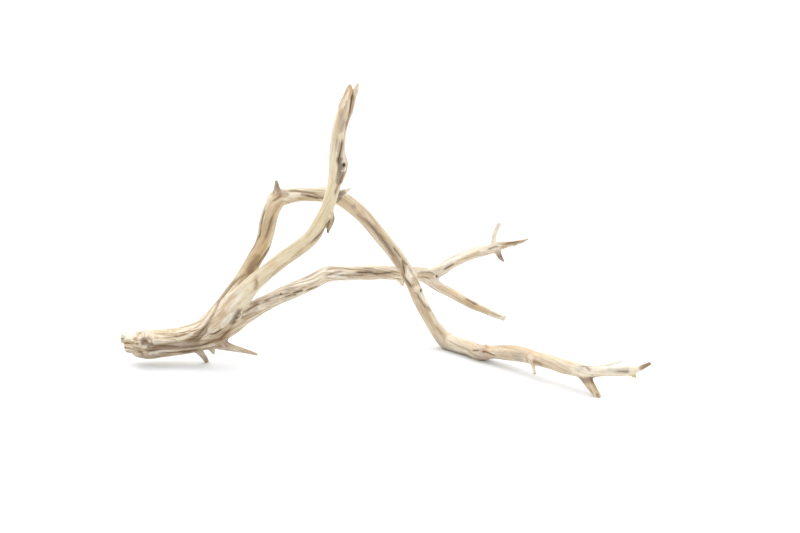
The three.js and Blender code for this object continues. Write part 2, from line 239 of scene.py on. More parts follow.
# Samples along a limb with the frame across it. Angle 0 is the side away from the viewer, or the
# underside of a limb that grows towards or away from the viewer.
def prepare(limb):
    centres, radii = sampleRoute(limb["route"], surface["sampleSpacing"])
    steps = np.linalg.norm(np.diff(centres, axis=0), axis=1)
    distances = np.concatenate([[0], np.cumsum(steps)])
    tangents = unit(np.gradient(centres, distances, axis=0))
    whole = unit(centres[-1] - centres[0])
    reference = np.array([0, 0, -1.0]) if abs(whole[1]) > frontShare else np.array([0, 1.0, 0])
    sides = unit(reference - tangents * (tangents @ reference)[:, None])
    limb["centres"] = centres
    limb["radii"] = radii
    limb["tangents"] = tangents
    limb["bends"] = np.gradient(tangents, distances, axis=0)
    limb["sides"] = sides
    limb["others"] = np.cross(tangents, sides)
    limb["distances"] = distances
    limb["length"] = distances[-1]


for number, limb in enumerate(wood + hollows):
    limb["seed"] = number + 1
    prepare(limb)
print("routes sampled:", len(wood))


# Where each point lies along and round a limb, its distance from the limb's surface, and the
# direction straight away from it.
def measure(limb, points):
    centres = limb["centres"]
    squares = np.sum(centres ** 2, axis=1)
    nearest = np.concatenate([
        np.argmin(squares - 2 * points[i:i + 20000] @ centres.T, axis=1)
        for i in range(0, len(points), 20000)
    ])
    offset = points - centres[nearest]
    crowding = np.clip(1 - dot(offset, limb["bends"][nearest]), 0.4, 3)
    place = limb["distances"][nearest] + dot(offset, limb["tangents"][nearest]) / crowding
    beyond = place - np.clip(place, 0, limb["length"])
    place = place - beyond
    step = np.interp(place, limb["distances"], np.arange(len(centres)))
    low = np.minimum(step.astype(int), len(centres) - 2)
    share = (step - low)[:, None]

    def between(key):
        return limb[key][low] * (1 - share) + limb[key][low + 1] * share

    tangent = unit(between("tangents"))
    away = points - between("centres")
    away -= tangent * dot(away, tangent)[:, None]
    across = np.linalg.norm(away, axis=1)
    angle = np.arctan2(dot(away, between("others")), dot(away, between("sides")))
    radius = limb["radii"][low] * (1 - share[:, 0]) + limb["radii"][low + 1] * share[:, 0]
    away = unit(away)

    size = radius * ridgeFactor(limb["ridges"], place, angle)
    rounding = beyond / roundEndReach
    reach = np.sqrt(across ** 2 + rounding ** 2)
    distance = reach - size
    slope = unit(away * across[:, None] + tangent * (rounding / roundEndReach)[:, None])
    for style, end in ((limb["start"], beyond < 0), (limb["end"], beyond > 0)):
        if style == "broken" and end.any():
            fibres = grainNoise(place * 0, angle, across, brokenEnd["fibre"], limb["seed"])
            fall = brokenEnd["fall"] + brokenEnd["ragged"] * fibres
            cap = np.abs(beyond) - brokenEnd["reach"] * size - fall * across
            side = across - size
            flat = end & (cap > side)
            distance = np.where(end, np.maximum(cap, side), distance)
            slope = np.where(end[:, None], away, slope)
            slope = np.where(flat[:, None], tangent * np.sign(beyond)[:, None], slope)
    return {"place": place, "angle": angle, "radius": radius, "distance": distance,
            "slope": slope}


# How much the broad ridges along the grain raise or lower the surface, as a factor of the radius.
def ridgeFactor(ridges, place, angle):
    turn = 2 * np.pi * ridges["turnsPerMetre"] * place / 1000
    broad = np.cos(ridges["count"] * (angle - turn) + ridges["phase"])
    narrow = np.cos((ridges["count"] + 2) * (angle + 0.4 * turn) - 2 * ridges["phase"])
    return 1 + ridges["depth"] * (0.65 * broad + 0.35 * narrow)


# Smooth noise between -1 and 1 on a grid of random values. The large numbers scramble the grid's
# own coordinates and the seed into those values, so they are the same each time.
def latticeNoise(places, seed):
    cell = np.floor(places).astype(np.int64)
    part = places - cell
    part = part * part * (3 - 2 * part)
    total = np.zeros(len(places))
    for corner in range(8):
        step = np.array([corner & 1, corner >> 1 & 1, corner >> 2 & 1])
        node = cell + step
        code = node[:, 0] * 73856093 ^ node[:, 1] * 19349663 ^ node[:, 2] * 83492791
        code = (code ^ seed * 2654435) & 0x7FFFFFFF
        code = ((code ^ code >> 13) * 1274126177) & 0x7FFFFFFF
        code ^= code >> 15
        weight = np.prod(np.where(step, part, 1 - part), axis=1)
        total += weight * ((code & 0xFFFF) / 32767.5 - 1)
    return total


# Noise in the limb's own coordinates: cell is its size across the grain in millimetres, and
# stretch is how many times longer it is along the grain.
def grainNoise(place, angle, radius, cell, seed, stretch=1.0, twist=0.0):
    turned = angle - 2 * np.pi * twist * place / 1000
    around = np.stack([place / (cell * stretch), np.cos(turned) * radius / cell,
                       np.sin(turned) * radius / cell], axis=1)
    return latticeNoise(around + seed * 7.31, seed)


# Melts the limbs together at each point. Gives the softened distance to the wood, its slope, and
# for each limb the points near it with their place on it and its share in them.
def woodAt(points):
    soft = np.full(len(points), 1000.0)
    slope = np.tile([0.0, 0.0, 1.0], (len(points), 1))
    parts = []
    for limb in wood:
        margin = limb["radii"].max() + limb["fillet"] + 4
        low = limb["centres"].min(axis=0) - margin
        high = limb["centres"].max(axis=0) + margin
        near = np.flatnonzero(np.all((points > low) & (points < high), axis=1))
        if len(near) == 0:
            continue
        found = measure(limb, points[near])
        overlap = np.maximum(0, 1 - np.abs(soft[near] - found["distance"]) / limb["fillet"])
        share = np.where(found["distance"] < soft[near], 1 - overlap / 2, overlap / 2)
        soft[near] = np.minimum(soft[near], found["distance"]) - overlap ** 2 * limb["fillet"] / 4
        slope[near] = slope[near] * (1 - share)[:, None] + found["slope"] * share[:, None]
        keep = np.ones(len(points))
        keep[near] = 1 - share
        for part in parts:
            part["share"] = part["share"] * keep[part["near"]]
        parts.append({**found, "limb": limb, "near": near, "share": share})
    for hollow in hollows:
        found = measure(hollow, points)
        overlap = np.maximum(0, 1 - np.abs(soft + found["distance"]) / hollow["fillet"])
        inside = -found["distance"] > soft
        share = np.where(inside, 1 - overlap / 2, overlap / 2)
        soft = np.maximum(soft, -found["distance"]) + overlap ** 2 * hollow["fillet"] / 4
        slope = slope * (1 - share)[:, None] - found["slope"] * share[:, None]
    return soft, slope, parts


# A closed tube along a limb for the first rough skin.
def roughTube(limb):
    sides = surface["sides"]
    turns = np.arange(sides) * 2 * np.pi / sides
    centres, radii, tangents = limb["centres"], limb["radii"], limb["tangents"]
    sideways, others = limb["sides"], limb["others"]
    firstCap = [centres[0] - tangents[0] * radii[0] * share for share in (0.65, 0.4)]
    lastCap = [centres[-1] + tangents[-1] * radii[-1] * share for share in (0.4, 0.65)]
    rows = np.vstack([firstCap, centres, lastCap])
    ends = np.array([0.35, 0.8])
    girths = np.concatenate([ends * radii[0], radii, ends[::-1] * radii[-1]])
    pad = ((2, 2), (0, 0))
    sideways, others = np.pad(sideways, pad, "edge"), np.pad(others, pad, "edge")
    spokes = (sideways[:, None] * np.cos(turns)[None, :, None]
              + others[:, None] * np.sin(turns)[None, :, None])
    points = (rows[:, None] + spokes * girths[:, None, None]).reshape(-1, 3)
    faces = []
    for k in range(len(rows) - 1):
        for i in range(sides):
            j = (i + 1) % sides
            faces.append([k * sides + i, k * sides + j, (k + 1) * sides + j, (k + 1) * sides + i])
    faces.append(list(range(sides))[::-1])
    faces.append([(len(rows) - 1) * sides + i for i in range(sides)])
    return points, faces


def meshFrom(name, points, faces):
    mesh = bpy.data.meshes.new(name)
    mesh.from_pydata(points, [], faces)
    mesh.update()
    return mesh


def pointsOf(mesh):
    points = np.empty(len(mesh.vertices) * 3, np.float32)
    mesh.vertices.foreach_get("co", points)
    return points.reshape(-1, 3).astype(float)


def movePoints(mesh, points):
    mesh.vertices.foreach_set("co", points.astype(np.float32).ravel())
    mesh.update()


# The mesh of an object with one modifier worked into it.
def worked(mesh, kind, **settings):
    helper = bpy.data.objects.new("helper", mesh)
    bpy.context.scene.collection.objects.link(helper)
    modifier = helper.modifiers.new("work", kind)
    for key, value in settings.items():
        setattr(modifier, key, value)
    graph = bpy.context.evaluated_depsgraph_get()
    result = bpy.data.meshes.new_from_object(helper.evaluated_get(graph))
    bpy.data.objects.remove(helper)
    bpy.data.meshes.remove(mesh)
    return result


def roughWood():
    points, faces, count = [], [], 0
    for limb in wood:
        tubePoints, tubeFaces = roughTube(limb)
        points.append(tubePoints)
        faces += [[corner + count for corner in face] for face in tubeFaces]
        count += len(tubePoints)
    return meshFrom("driftwood", np.vstack(points), faces)


mesh = worked(roughWood(), "REMESH", mode="VOXEL", voxel_size=surface["voxel"])
points = pointsOf(mesh)
print("limbs joined:", len(points), "points")

for step in range(3):
    soft, slope, parts = woodAt(points)
    points -= unit(slope) * np.clip(soft, -2, 2)[:, None]
print("melted together, left over:", round(float(np.abs(soft).max()), 2), "mm")


# The direction of the grain at each point.
def grainAt(count, parts):
    grain = np.zeros((count, 3))
    for part in parts:
        limb = part["limb"]
        steps = np.interp(part["place"], limb["distances"], np.arange(len(limb["distances"])))
        tangent = limb["tangents"][np.round(steps).astype(int)]
        grain[part["near"]] += tangent * part["share"][:, None]
    return unit(grain)


# Sums a value over the limbs at each point, each by its share there.
def blended(count, parts, valueOf):
    total = np.zeros(count)
    for part in parts:
        total[part["near"]] += part["share"] * valueOf(part)
    return total


# How each limb is worn: the height of its ridges and knobs and the depth of its cracks in
# millimetres, and how strong its thin dark lines are. The trunk and the right end of the arch are
# worn as their own rows say, and the two dictionaries below say where along the limbs they lie.
texture = {
    "trunk": {"ridge": 0.45, "knobs": 0.1, "crack": 0.6, "lines": 1.0},
    "upright limb": {"ridge": 0.2, "knobs": 0.3, "crack": 0.1, "lines": 0.2},
    "arch": {"ridge": 0.3, "knobs": 0.45, "crack": 0.3, "lines": 0.3},
    "right end": {"ridge": 0.12, "knobs": 0.4, "crack": 0.08, "lines": 0.15},
    "long limb": {"ridge": 0.65, "knobs": 0.75, "crack": 0.75, "lines": 0.7},
    "lower fork": {"ridge": 0.5, "knobs": 0.4, "crack": 0.25, "lines": 0.5},
    "twig": {"ridge": 0.25, "knobs": 0.25, "crack": 0.25, "lines": 0.5},
}
trunkLimbs = ("upright limb", "arch", "long limb")
trunkEnd = {"end": 105, "fade": 40}
rightEnd = {"start": 640, "fade": 60}


def wear(part, key):
    name = part["limb"]["name"]
    own = texture.get(name, texture["twig"])[key]
    if name not in trunkLimbs:
        return own
    if name == "arch":
        share = smooth((part["place"] - rightEnd["start"]) / rightEnd["fade"])
        own = own + (texture["right end"][key] - own) * share
    share = smooth((trunkEnd["end"] - part["place"]) / trunkEnd["fade"])
    return own + (texture["trunk"][key] - own) * share


def smooth(value):
    value = np.clip(value, 0, 1)
    return value * value * (3 - 2 * value)


# The relief of the grain: how wide each kind is across the grain in millimetres, and how many
# times longer it is along it.
reliefGrain = {
    "wander": (10, 2.5), "broad": (4.4, 14), "narrow": (2.4, 20),
    "cracks": (4.8, 20), "patches": (12, 4), "knobs": (7, 1.8),
}


# Ridges, cracks and knobs of the grain all round the wood: a height in millimetres, and how far
# each point is inside a crack, 0 to 1.
def grainRelief(part):
    twist = part["limb"]["ridges"]["turnsPerMetre"]

    def noise(kind, place, seedStep, twist=0.0):
        cell, stretch = reliefGrain[kind]
        return grainNoise(place, part["angle"], part["radius"], cell,
                          part["limb"]["seed"] + seedStep, stretch, twist)

    place = part["place"]
    bent = place + 8 * noise("wander", place, 30)
    broad = noise("broad", bent, 40, twist)
    narrow = noise("narrow", bent, 50, twist)
    line = np.abs(noise("cracks", bent, 60, twist))
    patches = smooth(0.5 + 1.3 * noise("patches", place, 70))
    knobs = noise("knobs", place, 80)
    crack = smooth(1 - line / 0.22) * patches
    height = wear(part, "ridge") * (0.8 * broad + 0.4 * (1 - 2.4 * np.abs(narrow)))
    height += wear(part, "knobs") * 0.7 * knobs - wear(part, "crack") * crack
    return height, crack * wear(part, "crack")


# Cracks, creases and splits: width and depth in millimetres, how dark it is, and the points that it
# runs through on the surface. Here and in the bands, knots and stains below, the marks were picked
# by eye in the photo, and a separate helper script worked out where most of them lie on the wood.
cracks = [
    ("eye of the butt", 1.2, 0.9, 0.8, [[-291, -3, 29], [-281, -9, 32]]),
    ("ring of the burl", 1.6, 0.9, 0.5, [
        [-263, -20, 35], [-257, -20, 35], [-253, -19, 32], [-254, -20, 28], [-259, -21, 25]]),
    ("heart of the burl", 1.6, 0.8, 0.6, [[-263, -22, 30], [-260, -22, 33], [-257, -22, 31]]),
    ("first line on top of the trunk", 1.5, 0.9, 0.5, [
        [-253, -13, 36], [-222, -11, 37], [-203, -7, 45], [-189, 0, 60], [-172, 5, 82],
        [-164, 5, 93]]),
    ("second line on top of the trunk", 1.5, 0.9, 0.55, [
        [-249, -14, 32], [-220, -13, 35], [-202, -12, 43], [-194, -11, 50]]),
    ("crease of the collar", 2.8, 2.2, 0.7, [
        [-226, -17, 30], [-210, -17, 32], [-201, -16, 37], [-194, -14, 45], [-188, -13, 54],
        [-184, -9, 63], [-178, 0, 72], [-170, 2, 82], [-163, 3, 91], [-155, 3, 98],
        [-147, 2, 103], [-140, 3, 105]]),
    ("line beside the crease", 1.5, 1.0, 0.55, [
        [-206, -19, 28], [-198, -17, 34], [-192, -16, 41], [-189, -14, 49]]),
    ("main groove of the trunk", 2.4, 2.0, 0.9, [
        [-223, -20, 22], [-199, -19, 25], [-183, -18, 31], [-175, -17, 33], [-169, -16, 39],
        [-163, -14, 46], [-159, -12, 53]]),
    ("upper edge of the dark band", 1.4, 0.8, 0.5, [
        [-248, -19, 24], [-237, -18, 27], [-226, -17, 30]]),
    ("crack below the collar", 1.6, 1.3, 0.9, [
        [-189, -17, 38], [-182, -16, 39], [-177, -15, 42], [-172, -15, 45]]),
    ("thin line of the collar", 1.3, 0.7, 0.45, [
        [-174, -15, 48], [-169, -15, 54], [-164, -16, 61]]),
    # the fold's darkness is partly painted shade under its ledge
    ("fold of the upright limb", 3.0, 1.3, 0.45, [
        [-134, -17, 105], [-133, -19, 97], [-136, -18, 89]]),
    ("left margin of the arch", 2.3, 1.2, 0.8, [
        [-119, 21, 184], [-125, 20, 177], [-130, 13, 157], [-131, 11, 146], [-135, 11, 139],
        [-147, 8, 119]]),
    # painted shadow: a dark line along the arch's shaded right edge, over a shallow groove
    ("right margin of the arch", 2.6, 0.9, 0.9, [
        [-136, 5, 108], [-129, 6, 119], [-122, 9, 129], [-118, 14, 136]]),
    ("flute of the arch", 3.4, 1.9, 0.6, [
        [-114, 18, 173], [-117, 14, 165], [-123, 9, 146], [-126, 7, 139]]),
    ("foot of the top stub", 1.8, 1.3, 0.8, [[-105, 27, 192], [-110, 22, 187], [-117, 20, 184]]),
    ("crack on top of the arch", 2.0, 1.5, 1.0, [
        [-104, 31, 194], [-91, 38, 193], [-82, 41, 191], [-73, 44, 189], [-64, 48, 184]]),
    ("crack under it", 1.8, 1.1, 0.85, [[-82, 40, 187], [-72, 45, 184], [-64, 48, 181]]),
    ("groove down the arch", 3.2, 2.0, 0.55, [
        [-28, 59, 164], [-14, 60, 154], [-4, 62, 144], [8, 63, 129], [19, 64, 112],
        [27, 64, 98]]),
    ("left line down the arch", 1.3, 0.7, 0.4, [
        [-36, 57, 170], [-16, 63, 149], [2, 68, 124], [18, 71, 101]]),
    ("right line down the arch", 1.9, 1.2, 0.9, [[18, 65, 122], [24, 65, 114], [30, 65, 106]]),
    ("gap above the crossing", 3.0, 1.9, 0.85, [[30, 65, 107], [31, 64, 100], [33, 64, 86]]),
    ("right arm of the gap", 2.2, 1.4, 0.85, [[30, 65, 106], [33, 65, 101], [37, 65, 98]]),
    ("left of the crossing", 2.6, 1.8, 0.8, [
        [29, 65, 93], [32, 66, 84], [37, 63, 78], [43, 60, 71]]),
    ("right of the crossing", 1.5, 0.9, 0.6, [
        [37, 65, 98], [41, 64, 92], [45, 63, 85], [48, 62, 78]]),
    ("below the crossing", 1.7, 1.4, 0.75, [
        [47, 60, 66], [51, 61, 59], [55, 61, 52], [60, 61, 46]]),
    ("splinter break", 2.0, 1.3, 0.75, [[59, 62, 51], [64, 62, 43]]),
    ("line at the bend", 1.7, 0.9, 0.55, [[69, 57, 27], [75, 54, 21], [80, 51, 16]]),
    ("line over the toe", 1.4, 0.7, 0.35, [
        [81, 48, 14], [94, 29, 11], [103, 17, 10], [110, 10, 11]]),
    ("first belly crack", 1.4, 1.1, 0.85, [[110, 10, 11], [119, 2, 14]]),
    ("second belly crack", 1.6, 1.2, 1.0, [
        [119, 0, 13], [125, -4, 14], [130, -8, 13], [137, -16, 12]]),
    ("line over the right foot", 1.6, 0.8, 0.6, [
        [221, -110, 28], [228, -114, 30], [243, -122, 32]]),
    ("arc over the right foot", 2.0, 1.0, 0.55, [
        [228, -114, 30], [231, -119, 28], [234, -122, 28]]),
    ("line under the grey band", 1.5, 0.7, 0.6, [
        [259, -135, 31], [268, -139, 32], [274, -141, 33]]),
    ("groove of the hump", 2.6, 1.7, 0.8, [
        [-47, -24, 179], [-52, -25, 169], [-60, -26, 158], [-69, -28, 149], [-75, -28, 145]]),
    # a shallow groove darkened as painted shade along the upright limb's lower edge
    ("low edge of the upright limb", 1.5, 0.6, 0.45, [
        [-77, -28, 143], [-85, -27, 136], [-95, -25, 127]]),
    ("right margin of the upright limb", 2.4, 1.2, 1.0, [
        [-44, -24, 197], [-43, -24, 204], [-40, -23, 211], [-36, -20, 219], [-33, -17, 226]]),
    ("line over the hollow", 2.9, 2.0, 1.0, [
        [-40, -22, 231], [-40, -20, 240], [-37, -17, 252], [-35, -15, 264]]),
    # a shallow groove darkened as painted shade along the upright limb's lower edge
    ("lower edge of the upright limb", 1.8, 0.6, 0.5, [
        [-95, -24, 126], [-108, -22, 115], [-120, -19, 104]]),
    ("split of the upright limb", 2.6, 2.4, 1.0, [
        [-24, 6, 315], [-25, 2, 310], [-27, -5, 300], [-28, -9, 288], [-30, -11, 281],
        [-33, -13, 267]]),
    ("low crack of the long limb", 1.9, 1.1, 0.8, [[-106, 10, 74], [-97, 15, 76], [-88, 20, 76]]),
    ("middle crack of the long limb", 2.1, 1.3, 1.0, [[-98, 15, 78], [-90, 19, 79], [-82, 24, 80]]),
    ("next crack of the long limb", 2.1, 1.3, 1.0, [
        [-82, 24, 78], [-76, 28, 79], [-70, 32, 80], [-66, 36, 82]]),
    ("short crack of the long limb", 1.3, 0.8, 0.6, [[-87, 22, 82], [-80, 26, 83]]),
    ("crack in the purple patch", 1.7, 1.1, 0.85, [[-127, 1, 72], [-120, 4, 74]]),
    ("top line of the long limb", 1.7, 1.0, 0.5, [
        [-62, 42, 94], [-56, 48, 97], [-49, 53, 97], [-35, 61, 95], [-19, 70, 92]]),
    ("second line of the long limb", 1.7, 1.2, 0.7, [[-61, 40, 91], [-47, 50, 94], [-38, 57, 93]]),
    ("third line of the long limb", 1.8, 1.2, 0.85, [
        [-47, 49, 89], [-38, 55, 89], [-22, 66, 86], [-10, 73, 85]]),
    ("fourth line of the long limb", 2.0, 1.1, 0.9, [
        [-31, 60, 90], [-22, 67, 89], [-10, 74, 88], [-1, 79, 85], [10, 85, 84], [26, 94, 84]]),
    ("line out of the trunk knot", 2.2, 1.3, 0.7, [
        [-152, -13, 60], [-146, -6, 63], [-136, -1, 69], [-129, 1, 71]]),
    ("low line out of the trunk", 1.5, 0.8, 0.5, [
        [-162, -15, 43], [-153, -12, 49], [-142, -8, 56], [-129, -1, 63]]),
    ("line to the fork", 1.8, 1.2, 0.85, [
        [49, 103, 80], [56, 105, 80], [63, 108, 79], [70, 111, 75]]),
    ("low line to the fork", 1.5, 0.9, 0.55, [[51, 103, 75], [59, 106, 73], [65, 107, 70]]),
    ("crack past the fork", 2.1, 1.2, 1.0, [
        [78, 113, 79], [83, 114, 83], [89, 115, 86], [94, 116, 88]]),
    ("crack at the twigs", 1.5, 1.0, 0.8, [[131, 126, 102], [140, 128, 105], [147, 130, 106]]),
    ("split of the long tip", 1.6, 1.1, 0.65, [[147, 131, 107], [164, 136, 109], [175, 138, 110]]),
    ("fray of the long tip", 1.5, 0.8, 0.7, [[163, 136, 105], [171, 139, 106]]),
    ("crack of the lower fork", 2.1, 1.2, 1.0, [[103, 97, 51], [110, 94, 48], [120, 90, 43]]),
    ("tip of the lower fork", 1.4, 0.8, 0.5, [[133, 84, 37], [141, 81, 34], [148, 79, 32]]),
]

# Colours of the wood, as linear red, green and blue.
shades = {
    "pale": (0.89, 0.83, 0.71),
    "cream": (0.745, 0.64, 0.47),
    "yellow": (0.74, 0.64, 0.435),
    "tan": (0.56, 0.41, 0.26),
    "ochre": (0.58, 0.42, 0.22),
    "brown": (0.28, 0.18, 0.105),
    "dark": (0.075, 0.045, 0.028),
    "grey": (0.46, 0.43, 0.39),
    "grey brown": (0.27, 0.205, 0.15),
    "mauve": (0.41, 0.33, 0.285),
    "dark mauve": (0.15, 0.11, 0.095),
    "orange": (0.76, 0.46, 0.24),
    "pink": (0.90, 0.80, 0.71),
    "olive": (0.56, 0.50, 0.19),
}

# Coloured bands: shade, strength, half width and depth in millimetres, and the points that it runs
# through. A depth below zero raises the band.
bands = [
    ("pale", 0.3, 9.0, 0.0, [
        [-125, 6, 71], [-91, 25, 80], [-61, 46, 91], [-29, 67, 88], [10, 88, 83], [42, 104, 79]]),
    ("pale", 0.65, 9.0, 0.0, [[45, 108, 80], [80, 112, 82], [110, 122, 98], [140, 128, 106]]),
    ("pale", 0.6, 8.0, 0.0, [[60, 108, 72], [90, 102, 56], [120, 91, 42], [150, 79, 32]]),
    ("pale", 0.5, 7.0, 0.0, [[240, -124, 32], [256, -131, 33], [276, -140, 36]]),
    ("pale", 0.35, 9.0, 0.0, [[50, 60, 60], [62, 58, 36], [78, 50, 18], [100, 20, 12]]),
    ("tan", 0.35, 10.0, 0.0, [
        [100, 30, 18], [119, 8, 18], [148, -20, 24], [177, -56, 27], [208, -93, 28]]),
    ("ochre", 0.4, 9.0, 0.0, [
        [-150, 3, 98], [-138, 3, 118], [-128, 6, 140], [-121, 13, 164], [-112, 22, 182]]),
    ("tan", 0.35, 9.0, 0.0, [
        [-38, 56, 172], [-10, 63, 148], [20, 66, 112], [40, 62, 80], [60, 58, 40]]),
    # painted shade: the trunk's lower side is darkened brown
    ("brown", 0.5, 10.0, 0.0, [
        [-272, -13, 14], [-245, -18, 16], [-215, -18, 19], [-190, -17, 25], [-172, -16, 34]]),
    ("brown", 0.35, 7.0, 0.0, [[-174, -15, 24], [-158, -18, 20], [-135, -21, 16]]),
    ("grey brown", 0.5, 5.0, 0.0, [[-203, -9, 17], [-198, -7, 9], [-195, -1, 2]]),
    ("grey brown", 0.4, 4.0, 0.0, [[-187, -12, 18], [-185, -10, 13]]),
    # painted shade on the trunk's lower front
    ("grey brown", 0.85, 6.5, 0.5, [
        [-254, -19, 22], [-241, -19, 24], [-229, -19, 26], [-216, -20, 26], [-203, -19, 28]]),
    ("grey brown", 0.7, 3.4, 0.5, [
        [-210, -18, 31], [-200, -17, 35], [-193, -15, 43], [-188, -14, 52], [-184, -11, 62]]),
    ("pale", 0.7, 1.8, -0.5, [
        [-255, -18, 16], [-242, -19, 19], [-224, -19, 20], [-210, -18, 22], [-195, -18, 24],
        [-183, -17, 27]]),
    ("pale", 0.6, 2.2, -0.3, [[-250, -17, 30], [-236, -17, 31], [-221, -16, 33], [-208, -14, 38]]),
    # painted shade on the underside of the trunk
    ("grey brown", 0.6, 3.4, 0.0, [[-267, -15, 11], [-250, -18, 13], [-236, -18, 15]]),
    # painted shadow under the trunk
    ("dark", 0.7, 1.8, 0.0, [[-219, -17, 17], [-210, -16, 17]]),
    ("tan", 0.5, 3.2, 0.0, [[-160, 6, 98], [-170, 6, 84], [-180, 0, 70]]),
    ("pink", 0.5, 5.0, 0.0, [[-186, -13, 57], [-180, -11, 66], [-174, -8, 76]]),
    ("tan", 0.55, 7.0, 0.0, [[-182, -15, 50], [-177, -15, 58], [-172, -15, 64], [-163, -14, 80]]),
    ("pale", 0.2, 6.0, -0.5, [[-167, -14, 54], [-160, -16, 70], [-150, -16, 90]]),
    # painted shade along the lower edge of the upright limb
    ("tan", 0.35, 4.0, 0.0, [[-72, -28, 146], [-95, -24, 124], [-122, -20, 99]]),
    ("tan", 0.45, 5.0, 0.0, [[130, -8, 19], [145, -24, 20], [155, -34, 20]]),
    ("tan", 0.5, 5.0, 0.0, [[125, -4, 9], [134, -10, 8], [143, -19, 11], [151, -28, 13]]),
    ("pale", 0.7, 4.5, 0.0, [
        [-130, 5, 75], [-110, 14, 83], [-91, 25, 88], [-74, 37, 93], [-61, 48, 98]]),
    # painted shade in the arch's flute, partly its brown wood
    ("brown", 0.5, 2.2, 0.3, [[-117, 13, 164], [-122, 9, 150], [-126, 7, 138]]),
    # painted shade under the fold of the upright limb, partly tan wood
    ("tan", 0.5, 3.4, 0.0, [[-134, -17, 105], [-133, -19, 97], [-137, -18, 88]]),
    ("ochre", 0.5, 8.0, 0.0, [[-146, 2, 104], [-138, 3, 118], [-128, 6, 134]]),
    ("brown", 0.55, 5.0, 0.0, [[-142, 3, 109], [-138, 3, 116], [-134, 4, 122]]),
    ("ochre", 0.6, 3.6, 0.0, [[-112, 20, 178], [-117, 13, 164], [-122, 9, 148], [-127, 6, 132]]),
    # painted shade under the top of the arch
    ("tan", 0.5, 2.2, 0.0, [[-104, 27, 181], [-83, 43, 181], [-66, 49, 179]]),
    ("brown", 0.75, 2.0, 0.0, [[-84, 40, 188], [-72, 45, 185], [-62, 48, 182]]),
    # painted shadow under the splinter, behind the upright limb
    ("dark", 0.75, 4.5, 0.0, [[-39, 52, 186], [-44, 53, 180]]),
    ("brown", 0.6, 3.0, 0.0, [
        [-20, 60, 158], [-4, 62, 144], [8, 63, 129], [19, 64, 112], [27, 64, 98]]),
    ("ochre", 0.5, 3.2, 0.0, [[-7, 65, 157], [2, 66, 145], [11, 66, 132]]),
    ("tan", 0.6, 4.5, 0.0, [[20, 66, 106], [27, 65, 92], [36, 62, 76], [45, 59, 62]]),
    ("pale", 0.9, 2.6, 0.0, [[35, 64, 93], [38, 63, 86], [42, 61, 79]]),
    ("pale", 0.8, 1.8, -0.3, [[50, 61, 66], [58, 63, 54]]),
    ("brown", 0.3, 2.0, 0.0, [[47, 60, 66], [55, 61, 52], [60, 61, 46]]),
    ("tan", 0.5, 4.6, 0.0, [[50, 60, 50], [59, 59, 36], [67, 56, 25]]),
    ("ochre", 0.65, 4.6, 0.0, [[72, 56, 25], [79, 52, 17]]),
    # painted light: the toe's underside is lightened against the shade under it
    ("pale", 0.6, 3.0, 0.0, [[83, 45, 2], [93, 39, 0], [103, 26, 0], [115, 11, 0]]),
    # painted contact shadow where the toe meets the floor
    ("dark", 0.3, 1.4, 0.0, [[78, 50, 2], [84, 41, 2]]),
    # painted contact shadow where the belly meets the floor
    ("brown", 0.25, 1.2, 0.0, [[88, 38, 1], [99, 31, 1], [108, 17, 0], [119, 5, 0]]),
    # painted shade on the lower side of the arch's right part
    ("tan", 0.6, 4.4, 0.0, [[178, -62, 20], [194, -82, 20], [210, -101, 20]]),
    ("brown", 0.8, 2.2, 0.0, [[177, -61, 20], [184, -68, 19]]),
    ("grey", 0.7, 2.8, 0.0, [[251, -130, 31], [261, -135, 33], [270, -139, 34]]),
    ("grey brown", 0.45, 1.5, 0.0, [[259, -134, 31], [270, -139, 32]]),
    # painted shade where the right foot joins the limb
    ("brown", 0.85, 3.4, 0.0, [[222, -114, 15], [230, -121, 16], [237, -121, 17]]),
    ("ochre", 0.7, 4.0, 0.0, [[231, -123, 12], [236, -127, 7]]),
    ("grey brown", 0.75, 2.4, 0.3, [
        [-45, -23, 175], [-48, -25, 169], [-52, -24, 162], [-57, -22, 156]]),
    ("dark mauve", 0.95, 4.0, 0.8, [
        [-38, -19, 238], [-37, -20, 230], [-38, -21, 224], [-39, -22, 215]]),
    ("pale", 0.9, 0.9, -0.3, [[-36, -19, 236], [-34, -17, 238], [-31, -14, 236]]),
    ("pale", 0.8, 0.9, -0.2, [[-36, -20, 227], [-33, -18, 227], [-31, -15, 229]]),
    ("mauve", 0.55, 2.8, 0.2, [[-38, -9, 291], [-36, -13, 280], [-38, -15, 271]]),
    ("mauve", 0.6, 2.5, 0.2, [[-41, -17, 260], [-41, -18, 250]]),
    ("tan", 0.6, 2.0, 0.0, [[-23, -1, 305], [-26, -7, 291]]),
    ("orange", 0.85, 2.0, 0.0, [[-27, 3, 315], [-28, -1, 307]]),
    ("mauve", 0.7, 2.6, 0.4, [[-127, 1, 72], [-120, 4, 74], [-112, 8, 77]]),
    ("ochre", 0.45, 2.6, 0.0, [[-129, 0, 69], [-120, 3, 70], [-111, 7, 73]]),
    ("brown", 0.55, 2.6, 0.4, [[-149, -10, 56], [-142, -7, 60], [-135, -4, 65]]),
    ("tan", 0.6, 3.2, 0.0, [[-31, 60, 86], [-10, 73, 83], [20, 89, 81]]),
    ("tan", 0.8, 3.0, 0.0, [[50, 103, 77], [57, 105, 76], [66, 108, 74]]),
    ("ochre", 0.6, 2.0, 0.0, [[94, 116, 88], [102, 119, 93], [111, 121, 95], [121, 124, 100]]),
    ("ochre", 0.6, 3.0, 0.0, [[76, 105, 62], [94, 99, 53], [110, 93, 45], [131, 85, 37]]),
    ("orange", 0.6, 1.6, 0.0, [[84, 104, 60], [96, 100, 55]]),
    ("orange", 0.35, 1.6, 0.0, [[102, 96, 49], [117, 90, 42], [134, 84, 37]]),
    ("tan", 0.4, 2.0, 0.0, [[63, 106, 67], [87, 101, 52], [110, 93, 41], [131, 84, 34]]),
]

